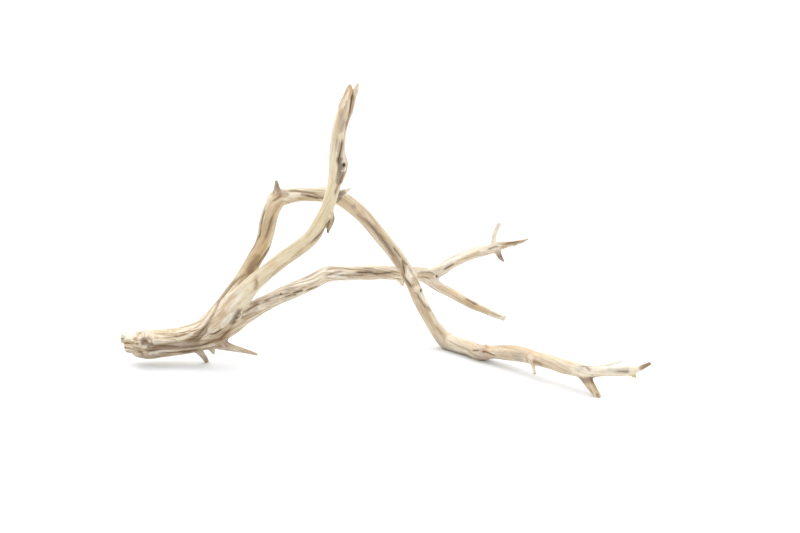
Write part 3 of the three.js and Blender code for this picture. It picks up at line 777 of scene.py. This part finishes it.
# Knots and bulges: radius and height of the ring, radius and depth of the hole, how dark it is, how
# many times longer it is along the grain, and the centre.
knots = [
    ("burl", 8.0, 0.8, 0.0, 0.0, 0.0, 1.1, [-260, -22, 32]),
    ("trunk knot", 5.0, 0.7, 0.0, 0.0, 0.0, 1.7, [-158, -15, 58]),
    ("small knot of the long limb", 3.4, 0.8, 1.4, 1.0, 0.9, 1.2, [-108, 9, 79]),
    ("knot in the hollow", 4.0, 1.4, 2.2, 1.4, 1.0, 1.3, [-34, -17, 233]),
    ("hole beside the knob", 2.8, 0.3, 2.0, 2.2, 1.0, 1.2, [52, 61, 69]),
    ("eye over the belly", 2.8, 0.5, 1.0, 0.6, 0.6, 1.0, [138, -15, 21]),
    ("knot over the right foot", 5.0, 0.8, 0.0, 0.0, 0.0, 1.5, [235, -121, 29]),
    ("corner of the fork", 2.5, 0.0, 2.2, 1.0, 0.8, 1.0, [71, 112, 73]),
    ("bulge of the crossing", 5.0, 2.2, 0.0, 0.0, 0.0, 1.9, [39, 63, 85]),
    ("knob of the crossing", 4.6, 1.5, 0.0, 0.0, 0.0, 1.1, [46, 60, 71]),
    ("collar of the peg", 4.5, 0.9, 0.0, 0.0, 0.0, 1.2, [173, -57, 22]),
]

# Stains: shade, strength, reach along and across the grain in millimetres, and the centres.
stains = [
    ("yellow", 0.7, 60, 14, [[-110, -20, 122], [-60, -28, 168], [-50, -24, 195]]),
    ("pale", 0.8, 9, 5, [[-285, -5, 32], [-278, -7, 36]]),
    ("grey brown", 0.95, 6.5, 5, [[-261, -21, 31]]),
    ("brown", 0.6, 4.5, 3, [[-261, -21, 31]]),
    ("tan", 0.6, 4, 4, [[-268, -7, 37], [-271, -15, 30]]),
    ("dark", 0.6, 1.6, 1.4, [[-226, -17, 30], [-217, -20, 24]]),
    ("tan", 0.7, 5, 3.4, [[-173, -15, 62]]),
    ("grey brown", 0.95, 5.5, 3.6, [[-161, -14, 53], [-158, -15, 58], [-155, -15, 63]]),
    ("dark mauve", 0.5, 3.6, 2.4, [[-158, -15, 58]]),
    ("mauve", 0.5, 2.2, 1.0, [[-157, -15, 61]]),
    ("brown", 0.5, 7, 5, [[-112, 26, 195], [-113, 30, 201], [-106, 28, 191]]),
    ("mauve", 0.8, 4, 3, [[-26, 59, 170]]),
    ("pink", 1.0, 8.5, 3.8, [[39, 63, 86]]),
    ("mauve", 0.3, 3.5, 1.6, [[42, 62, 81]]),
    ("pale", 0.7, 5, 5, [[29, 97, 68]]),
    ("pale", 0.9, 5, 5, [[46, 60, 71]]),
    ("tan", 0.5, 4, 2.5, [[44, 61, 77]]),
    ("orange", 0.6, 4, 3.5, [[126, -3, 17]]),
    ("grey brown", 0.4, 2, 1.5, [[133, -11, 18], [141, -19, 19], [146, -24, 20], [137, -13, 16]]),
    ("pink", 0.35, 9, 4, [[137, -17, 15], [148, -28, 16]]),
    ("grey", 0.6, 6, 7, [[156, -37, 19], [161, -43, 19]]),
    ("pink", 0.5, 5, 4, [[173, -57, 23], [175, -65, 12]]),
    ("brown", 0.8, 2.2, 1.8, [[169, -53, 18], [177, -61, 19]]),
    ("grey", 0.3, 6, 3, [[226, -114, 29], [222, -111, 27]]),
    ("pale", 0.8, 2, 1.5, [[237, -122, 29]]),
    ("tan", 0.7, 4, 2, [[245, -128, 29]]),
    ("brown", 0.7, 1.2, 1.0, [[220, -112, 19], [234, -122, 23], [214, -106, 22], [233, -126, 6]]),
    ("grey brown", 0.8, 3, 2.6, [[240, -130, 3]]),
    ("olive", 1.0, 5, 3, [[274, -140, 29], [278, -139, 28]]),
    ("brown", 0.85, 6, 4, [[287, -142, 39], [292, -141, 42]]),
    ("dark", 0.6, 2, 3, [[295, -141, 43]]),
    # painted glare: the far twig is paled all over, as if washed out by light
    ("pale", 1.0, 18, 8, [[250, -102, 28], [262, -90, 27]]),
    ("orange", 0.35, 6, 4, [[-115, -21, 120]]),
    ("grey brown", 0.7, 3, 2, [[-53, -23, 158]]),
    ("pale", 0.9, 2.2, 1.4, [[-36, -18, 236], [-33, -17, 228], [-35, -14, 264]]),
    ("grey brown", 0.7, 7, 4, [[146, 128, 97], [149, 127, 91]]),
    ("pale", 0.6, 16, 5, [[139, 132, 116], [145, 133, 127]]),
    ("orange", 0.6, 4, 2.5, [[171, 138, 110]]),
    ("brown", 0.5, 3, 3, [[150, 80, 30]]),
]


# How far each point is from a line on the surface, and where along the line that is, 0 to 1. Depth
# counts for little, so that a line that lies just over or under the surface still marks it.
def lineDistance(points, normals, line):
    line = np.array(line, float)
    best = np.full(len(points), 1e3)
    where = np.zeros(len(points))
    spans = np.linalg.norm(np.diff(line, axis=0), axis=1)
    gone = 0
    for start, end, span in zip(line[:-1], line[1:], spans):
        along = np.clip(dot(points - start, end - start) / span ** 2, 0, 1)
        offset = points - start - (end - start) * along[:, None]
        depth = dot(offset, normals)
        flat = np.sqrt(np.maximum(dot(offset, offset) - 0.9 * depth ** 2, 0))
        closer = flat < best
        best = np.where(closer, flat, best)
        where = np.where(closer, (gone + along * span) / spans.sum(), where)
        gone += span
    return best, where


def nearBox(points, rows, margin):
    rows = np.atleast_2d(np.array(rows, float))
    low, high = rows.min(axis=0) - margin, rows.max(axis=0) + margin
    return np.flatnonzero(np.all((points > low) & (points < high), axis=1))


# How strongly each point near a band belongs to it.
def bandShare(points, slope, width, line):
    near = nearBox(points, line, 2 * width)
    away, where = lineDistance(points[near], slope[near], line)
    wobble = latticeNoise(points[near] / 4, 6)
    return near, smooth((1.35 - away / width + 0.3 * wobble) / 0.8)


# The way that cracks, knots and the grain raise or sink the surface, how dark they are, and the
# painted shade in grooves: brown in the grain's valleys and round each crack, partly the browner
# wood there.
def reliefAt(points, slope, grain, parts):
    height, dark = np.zeros(len(points)), np.zeros(len(points))
    for part in parts:
        rise, crack = grainRelief(part)
        height[part["near"]] += part["share"] * rise
        dark[part["near"]] += 0.5 * part["share"] * crack
    # painted shade: the valleys of the grain are browned, partly the browner wood in them
    grooveStainAndPaintedShade = np.clip(-height / 1.3, 0, 0.7)
    wobble = latticeNoise(points / 5, 5)
    for _, _, width, depth, line in bands:
        near, share = bandShare(points, slope, width, line)
        height[near] -= depth * share
    for _, width, depth, darkness, line in cracks:
        near = nearBox(points, line, 3 * width + 1)
        away, where = lineDistance(points[near], slope[near], line)
        taper = np.clip(np.minimum(where, 1 - where) * 5, 0.3, 1)
        across = away / (width * (0.85 + 0.25 * wobble[near]) * (0.5 + 0.5 * taper))
        valley = np.clip(1 - across, 0, 1) ** 1.2 * taper
        lip = np.exp(-((across - 1.5) / 0.5) ** 2) * taper
        height[near] += depth * (0.18 * lip - valley)
        core = np.clip(1.3 - across / 0.42, 0, 1) * taper
        dark[near] = np.maximum(dark[near], darkness * core)
        # painted shade round the crack, partly the browner wood beside it
        grooveStainAndPaintedShade[near] = np.maximum(grooveStainAndPaintedShade[near], darkness * smooth(1.1 - across / 1.7) * taper)
    for _, ring, rise, hole, depth, darkness, stretch, centre in knots:
        near = nearBox(points, centre, ring * stretch + 2)
        offset = points[near] - np.array(centre, float)
        offset -= grain[near] * (dot(offset, grain[near]) * (1 - 1 / stretch))[:, None]
        away = np.sqrt(np.maximum(dot(offset, offset) - 0.8 * dot(offset, slope[near]) ** 2, 0))
        away *= 1 + 0.15 * wobble[near]
        height[near] += rise * np.clip(1 - (away / ring) ** 2, 0, 1) ** 2
        if hole:
            rings = np.cos(away * 2 * np.pi / 2.4) * np.clip(1 - away / ring, 0, 1)
            pit = np.clip(1 - (away / hole) ** 2, 0, 1)
            height[near] += 0.35 * rings - (depth + rise) * pit
            dark[near] = np.maximum(dark[near], darkness * np.clip(pit * 1.5, 0, 1))
            dark[near] = np.maximum(dark[near], 0.6 * darkness * np.clip(-rings * 1.6, 0, 1))
    return height, dark, grooveStainAndPaintedShade


soft, slope, parts = woodAt(points)
slope = unit(slope)
height, _, _ = reliefAt(points, slope, grainAt(len(points), parts), parts)
height *= 0.15 + 0.85 * smooth(points[:, 2] / 5)  # little relief where the wood touches the floor
points += slope * height[:, None]
points[:, 2] = np.maximum(points[:, 2], 0)
movePoints(mesh, points)
faceCount = sum(len(polygon.vertices) - 2 for polygon in mesh.polygons)
mesh = worked(mesh, "DECIMATE", ratio=surface["triangles"] / faceCount)
points = pointsOf(mesh)
points[:, 2] = np.maximum(points[:, 2], 0)
print("carved:", len(mesh.polygons), "faces")


# The wood's colour before its fine grain, at each point, with painted shade in its grooves and a
# painted highlight on its ridges; the bands marked as light or shade paint it too.
def paintAt(points, slope, grain, parts, height, grooveStainAndPaintedShade):
    count = len(points)
    tone = blended(count, parts, lambda part: grainNoise(
        part["place"], part["angle"], part["radius"], 5, part["limb"]["seed"] + 90, 9))
    streak = blended(count, parts, lambda part: grainNoise(
        part["place"], part["angle"], part["radius"], 2.6, part["limb"]["seed"] + 100, 16))
    warmth = latticeNoise(points / 24, 11)
    paint = np.tile(shades["cream"], (count, 1))

    plain = np.zeros(count)

    def cover(colour, amount):
        amount = np.clip(amount, 0, 1)[:, None]
        paint[:] = paint * (1 - amount) + np.array(shades[colour]) * amount

    # raised ridges are painted paler: partly bleached wear, partly a painted highlight
    cover("pale", 0.25 + 0.6 * tone + 0.5 * height)
    cover("tan", -0.25 - 0.8 * tone + 0.4 * streak)
    cover("mauve", 0.7 * warmth - 0.2)
    for colour, strength, along, across, centres in stains:
        for centre in centres:
            near = nearBox(points, centre, along * 1.6)
            offset = points[near] - np.array(centre, float)
            lengthwise = dot(offset, grain[near])
            sideways = dot(offset, offset) - lengthwise ** 2
            reach = np.sqrt((lengthwise / along) ** 2 + sideways / across ** 2)
            amount = np.zeros(count)
            amount[near] = strength * smooth(
                (1.35 - reach + 0.35 * streak[near] + 0.2 * tone[near]) / 0.7)
            cover(colour, amount)
            if colour in ("pale", "pink"):
                plain = np.maximum(plain, amount)
    for colour, strength, width, _, line in bands:
        near, share = bandShare(points, slope, width, line)
        amount = np.zeros(count)
        amount[near] = strength * share * (0.85 + 0.3 * streak[near])
        cover(colour, amount)
        if colour == "pale":
            plain = np.maximum(plain, amount)
    # the painted brown shade of grooves and cracks, partly their browner wood
    cover("brown", 0.7 * grooveStainAndPaintedShade)
    return paint, plain


soft, slope, parts = woodAt(points)
slope = unit(slope)
grain = grainAt(len(points), parts)
height, dark, grooveStainAndPaintedShade = reliefAt(points, slope, grain, parts)
paint, plain = paintAt(points, slope, grain, parts, height, grooveStainAndPaintedShade)
lined = blended(len(points), parts, lambda part: wear(part, "lines")) * (1 - plain)
print("painted")


# The wood's coordinates for the fine grain: millimetres along the grain, and two across it. Each
# face takes those of the limb that it is part of.
def grainCorners(mesh, parts):
    places = np.zeros((len(wood), len(mesh.vertices), 3), np.float32)
    shares = np.zeros((len(wood), len(mesh.vertices)), np.float32)
    for part in parts:
        number = part["limb"]["seed"] - 1
        turn = 2 * np.pi * part["limb"]["ridges"]["turnsPerMetre"] * part["place"] / 1000
        places[number, part["near"]] = np.stack([
            part["place"] + 300 * number, np.cos(part["angle"] - turn) * part["radius"],
            np.sin(part["angle"] - turn) * part["radius"]], axis=1)
        shares[number, part["near"]] = part["share"]
    corners = np.empty(len(mesh.loops), np.int32)
    mesh.loops.foreach_get("vertex_index", corners)
    starts = np.empty(len(mesh.polygons), np.int32)
    mesh.polygons.foreach_get("loop_start", starts)
    totals = np.empty(len(mesh.polygons), np.int32)
    mesh.polygons.foreach_get("loop_total", totals)
    faceShares = np.add.reduceat(shares[:, corners], starts, axis=1)
    owner = np.repeat(np.argmax(faceShares, axis=0), totals)
    return places[owner, corners]


def addAttribute(mesh, name, kind, domain, key, values):
    attribute = mesh.attributes.new(name, kind, domain)
    attribute.data.foreach_set(key, np.ascontiguousarray(values, np.float32).ravel())


addAttribute(mesh, "grain", "FLOAT_VECTOR", "CORNER", "vector", grainCorners(mesh, parts))
addAttribute(mesh, "paint", "FLOAT_COLOR", "POINT", "color",
             np.hstack([paint, np.ones((len(points), 1))]))
addAttribute(mesh, "dark", "FLOAT", "POINT", "value", dark)
addAttribute(mesh, "lined", "FLOAT", "POINT", "value", lined)
movePoints(mesh, points * millimetre)
mesh.polygons.foreach_set("use_smooth", np.ones(len(mesh.polygons), bool))
mesh.update()

driftwood = bpy.data.objects.new("driftwood_branch", mesh)
bpy.context.scene.collection.objects.link(driftwood)
print("branch made:", len(mesh.polygons), "faces")


# The fine grain that the material draws: its size along and across in millimetres, its detail and
# its roughness.
fineGrain = {
    "broad": (90, 4.5, 2, 0.5), "streaks": (64, 1.9, 3, 0.5), "fibres": (22, 0.7, 3, 0.6),
    "patches": (22, 7, 2, 0.5), "threads": (150, 4.2, 1, 0.4), "hairs": (90, 2.0, 1, 0.4),
    "specks": (2.6, 1.1, 2, 0.6),
}

# What the fine grain multiplies the paint by.
grainTints = {
    "tan": (0.80, 0.73, 0.63),
    "ochre": (0.82, 0.75, 0.62),
    "pale": (1.12, 1.14, 1.18),
    "brown": (0.50, 0.41, 0.32),
}


def woodMaterial():
    material = bpy.data.materials.new("weathered wood")
    material.use_nodes = True
    nodes, links = material.node_tree.nodes, material.node_tree.links
    shader = nodes["Principled BSDF"]

    def node(kind, **settings):
        made = nodes.new(kind)
        for key, value in settings.items():
            setattr(made, key, value)
        return made

    def attribute(name, output):
        return node("ShaderNodeAttribute", attribute_name=name).outputs[output]

    grainPlace = attribute("grain", "Vector")
    dark = attribute("dark", "Fac")
    lined = attribute("lined", "Fac")

    def vectorMath(operation, value, other):
        made = node("ShaderNodeVectorMath", operation=operation)
        links.new(value, made.inputs[0])
        if isinstance(other, tuple):
            made.inputs[1].default_value = other
        else:
            links.new(other, made.inputs[1])
        return made.outputs[0]

    # Noise stretched along the grain, scaled by its size along and across in millimetres.
    def grainTexture(place, along, across, detail, roughness, output="Fac"):
        noise = node("ShaderNodeTexNoise")
        noise.inputs["Scale"].default_value = 1
        noise.inputs["Detail"].default_value = detail
        noise.inputs["Roughness"].default_value = roughness
        scaled = vectorMath("MULTIPLY", place, (1 / along, 1 / across, 1 / across))
        links.new(scaled, noise.inputs["Vector"])
        return noise.outputs[output]

    def ranged(value, low, high, toLow=0.0, toHigh=1.0):
        made = node("ShaderNodeMapRange", interpolation_type="SMOOTHSTEP")
        for key, number in (("From Min", low), ("From Max", high), ("To Min", toLow),
                            ("To Max", toHigh)):
            made.inputs[key].default_value = number
        links.new(value, made.inputs["Value"])
        return made.outputs["Result"]

    def calculated(operation, a, b):
        made = node("ShaderNodeMath", operation=operation)
        for socket, value in zip(made.inputs, (a, b)):
            if isinstance(value, (int, float)):
                socket.default_value = value
            else:
                links.new(value, socket)
        return made.outputs[0]

    def times(a, b):
        return calculated("MULTIPLY", a, b)

    def mixed(factor, a, b, blend="MIX"):
        made = node("ShaderNodeMix", data_type="RGBA", blend_type=blend)
        for socket, value in ((made.inputs["Factor"], factor), (made.inputs[6], a),
                              (made.inputs[7], b)):
            if isinstance(value, (int, float)):
                socket.default_value = value
            elif isinstance(value, tuple):
                socket.default_value = (*value, 1)
            else:
                links.new(value, socket)
        return made.outputs[2]

    # Lines where a noise passes through the middle of its range.
    def linesOf(noise, width, strength):
        middle = calculated("ABSOLUTE", calculated("SUBTRACT", noise, 0.5), 0)
        return times(ranged(middle, 0.3 * width, width, 1, 0), strength)

    # The grain waves from side to side on its way along a limb.
    wave = grainTexture(grainPlace, 28, 10, 1, 0.5, "Color")
    wave = vectorMath("SUBTRACT", wave, (0.5, 0.5, 0.5))
    waved = vectorMath("ADD", grainPlace, vectorMath("MULTIPLY", wave, (0, 4, 4)))
    broad = grainTexture(waved, *fineGrain["broad"])
    streaks = grainTexture(waved, *fineGrain["streaks"])
    fibres = grainTexture(waved, *fineGrain["fibres"])
    patches = grainTexture(grainPlace, *fineGrain["patches"])
    lineWidth = 0.05
    threads = linesOf(grainTexture(waved, *fineGrain["threads"]), lineWidth,
                      ranged(patches, 0.3, 0.5))
    hairs = linesOf(grainTexture(waved, *fineGrain["hairs"]), lineWidth,
                    ranged(patches, 0.66, 0.46))
    specks = grainTexture(grainPlace, *fineGrain["specks"])

    colour = attribute("paint", "Color")
    worn = calculated("ADD", times(lined, 0.6), 0.4)
    for tint, amount in (
        ("tan", times(ranged(broad, 0.36, 0.56, 0.8, 0), worn)),
        ("ochre", times(ranged(streaks, 0.34, 0.5, 1, 0), worn)),
        ("pale", times(ranged(streaks, 0.52, 0.68, 0, 1), worn)),
        ("brown", ranged(fibres, 0.34, 0.58, 0.25, 0)),
        ("brown", ranged(specks, 0.66, 0.74, 0, 0.4)),
        ("brown", times(hairs, times(lined, 0.6))),
        ("brown", times(threads, lined)),
    ):
        colour = mixed(amount, colour, grainTints[tint], "MULTIPLY")
    colour = mixed(ranged(dark, 0.1, 0.95, 0, 0.94), colour, shades["dark"])
    links.new(colour, shader.inputs["Base Color"])
    shader.inputs["Roughness"].default_value = 0.75
    shader.inputs["Specular IOR Level"].default_value = 0.3
    shader.inputs["Sheen Weight"].default_value = 0.25
    shader.inputs["Sheen Roughness"].default_value = 0.5

    height = calculated("ADD", times(fibres, 0.4), times(streaks, 0.7))
    height = calculated("SUBTRACT", height, times(threads, 0.35))
    bump = node("ShaderNodeBump")
    bump.inputs["Strength"].default_value = 0.8
    bump.inputs["Distance"].default_value = 0.0008
    links.new(height, bump.inputs["Height"])
    links.new(bump.outputs["Normal"], shader.inputs["Normal"])
    return material


driftwood.data.materials.clear()
driftwood.data.materials.append(woodMaterial())
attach(driftwood, "root")
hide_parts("driftwood")

# The floor and the light: a plain pale room, a wide soft lamp overhead and one from behind.
studio = {
    "floorSize": 30,
    "floorColour": (0.765, 0.78, 0.795),
    "roomColour": (1.0, 1.0, 1.0),
    "roomStrength": 0.45,
    "lamps": [
        {"strength": 2.6, "spread": 140, "tilt": (0, 0, 0)},
        {"strength": 2.0, "spread": 75, "tilt": (-35, -12, 0)},
    ],
}
floorMesh = bpy.data.meshes.new("floor")
half = studio["floorSize"] / 2
floorMesh.from_pydata([(-half, -half, 0), (half, -half, 0), (half, half, 0), (-half, half, 0)], [],
                      [(0, 1, 2, 3)])
floor = bpy.data.objects.new("floor", floorMesh)
bpy.context.scene.collection.objects.link(floor)
floorMaterial = bpy.data.materials.new("plain floor")
floorMaterial.use_nodes = True
floorShader = floorMaterial.node_tree.nodes["Principled BSDF"]
floorShader.inputs["Base Color"].default_value = (*studio["floorColour"], 1)
floorShader.inputs["Roughness"].default_value = 0.9
floorShader.inputs["Specular IOR Level"].default_value = 0.1
floorMesh.materials.append(floorMaterial)

world = bpy.data.worlds.new("room")
world.use_nodes = True
background = world.node_tree.nodes["Background"]
background.inputs["Color"].default_value = (*studio["roomColour"], 1)
background.inputs["Strength"].default_value = studio["roomStrength"]
bpy.context.scene.world = world

for number, settings in enumerate(studio["lamps"]):
    lampData = bpy.data.lights.new(f"lamp {number + 1}", "SUN")
    lampData.energy = settings["strength"]
    lampData.angle = math.radians(settings["spread"])
    lamp = bpy.data.objects.new(f"lamp {number + 1}", lampData)
    lamp.rotation_euler = [math.radians(angle) for angle in settings["tilt"]]
    bpy.context.scene.collection.objects.link(lamp)

# The camera: the photo's view, worked out from the shadows and the length of the piece.
shot = {
    "target": (0.02742, 0.00877, 0.111),
    "distance": 2.14,
    "elevation": 14,
    "lens": 85,
}
cameraData = bpy.data.cameras.new("camera")
cameraData.lens = shot["lens"]
cameraData.sensor_width = 36
cameraData.dof.use_dof = False
camera = bpy.data.objects.new("camera", cameraData)
elevation = math.radians(shot["elevation"])
back = Vector((0, -math.cos(elevation), math.sin(elevation)))
camera.location = Vector(shot["target"]) + back * shot["distance"]
camera.rotation_euler = (math.radians(90) - elevation, 0, 0)
bpy.context.scene.collection.objects.link(camera)
bpy.context.scene.camera = camera
bpy.context.scene.view_settings.view_transform = "Standard"
print("floor, light and camera set")
